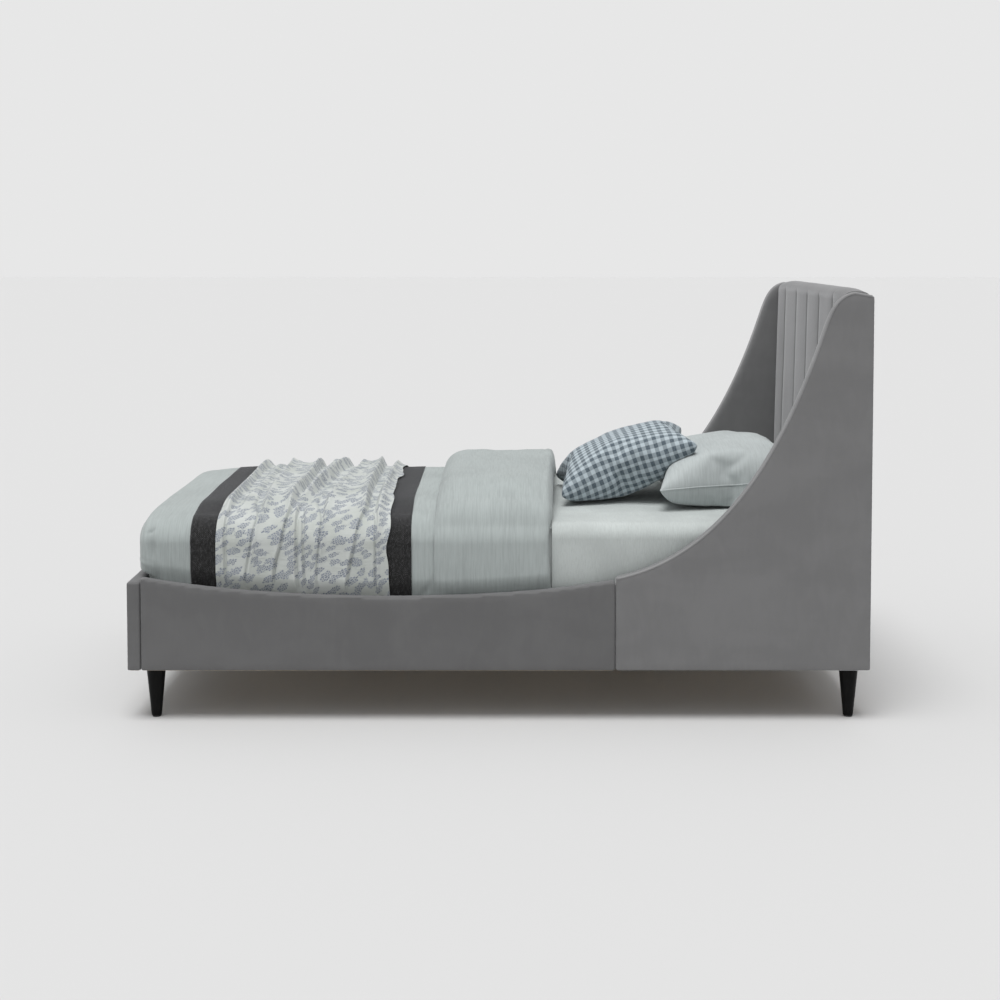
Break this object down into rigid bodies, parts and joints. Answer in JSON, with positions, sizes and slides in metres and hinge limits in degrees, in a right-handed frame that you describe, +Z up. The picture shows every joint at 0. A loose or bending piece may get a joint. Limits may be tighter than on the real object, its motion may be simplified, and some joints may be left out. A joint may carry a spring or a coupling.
{
  "type": "sleigh bed",
  "caption": "Upholstered sleigh bed: swept side wings, channelled headboard, dished rails, low footboard, tapered legs, slat base, mattress, made-up bedding and two loose pillows.",
  "frame": {"origin": "on the floor, under the middle of the bed", "axes": "+X along the bed towards the headboard, +Y to the left as seen from the foot, +Z up"},
  "size_m": [2.06, 1.1, 1.2],
  "materials": {
    "velvet": "matte",
    "velvet_welt": "matte",
    "plywood": "matte",
    "pine": "matte",
    "slat_wood": "satin",
    "webbing": "matte",
    "black_wood": "satin",
    "zinc_steel": "satin",
    "glide_plastic": "matte",
    "ticking": "matte",
    "sheet_cotton": "matte",
    "duvet_cotton": "matte",
    "charcoal_weave": "matte",
    "floral_cotton": "matte",
    "pillow_cotton": "matte",
    "gingham_cotton": "matte"
  },
  "bodies": {
    "frame": {"headboard_panel": "plywood", "headboard_stile_left": "pine", "headboard_stile_right": "pine", "headboard_rail_top": "pine", "headboard_rail_bottom": "pine", "headboard_channel_pad": "velvet", "headboard_top_pad": "velvet", "headboard_back_cover": "velvet", "wing_core_left": "plywood", "wing_core_right": "plywood", "wing_outer_pad_left": "velvet", "wing_outer_pad_right": "velvet", "wing_inner_pad_left": "velvet", "wing_inner_pad_right": "velvet", "wing_welt_left": "velvet_welt", "wing_welt_right": "velvet_welt", "side_rail_core_left": "plywood", "side_rail_core_right": "plywood", "side_rail_cover_left": "velvet", "side_rail_cover_right": "velvet", "footboard_core": "plywood", "footboard_cover": "velvet", "leg_front_left": "black_wood", "leg_front_right": "black_wood", "leg_rear_left": "black_wood", "leg_rear_right": "black_wood", "leg_plates": "zinc_steel", "leg_bolts": "zinc_steel", "leg_glides": "glide_plastic", "corner_blocks": "pine", "side_ledger_left": "pine", "side_ledger_right": "pine", "head_ledger": "pine", "foot_ledger": "pine", "center_beam": "pine", "beam_hangers": "zinc_steel", "center_leg_foot": "black_wood", "center_leg_head": "black_wood", "joint_plates": "zinc_steel", "joint_bolts": "zinc_steel", "slat_01": "slat_wood", "slat_02": "slat_wood", "slat_03": "slat_wood", "slat_04": "slat_wood", "slat_05": "slat_wood", "slat_06": "slat_wood", "slat_07": "slat_wood", "slat_08": "slat_wood", "slat_09": "slat_wood", "slat_10": "slat_wood", "slat_11": "slat_wood", "slat_straps": "webbing"},
    "bedding": {"mattress": "ticking", "fitted_sheet": "sheet_cotton", "duvet": "duvet_cotton", "duvet_fold": "duvet_cotton", "charcoal_throw": "charcoal_weave", "floral_throw": "floral_cotton"},
    "pillow_plain": {"pillow_plain": "pillow_cotton"},
    "pillow_gingham": {"pillow_gingham": "gingham_cotton"}
  },
  "joints": [
    {"name": "bedding_lift", "type": "slide", "parent": "frame", "child": "bedding", "axis": [0, 0, 1], "range_m": [0, 0.9]},
    {"name": "pillow_plain_lift", "type": "slide", "parent": "bedding", "child": "pillow_plain", "axis": [0, 0, 1], "range_m": [0, 0.7]},
    {"name": "pillow_gingham_lift", "type": "slide", "parent": "pillow_plain", "child": "pillow_gingham", "axis": [0, 0, 1], "range_m": [0, 0.4]}
  ]
}
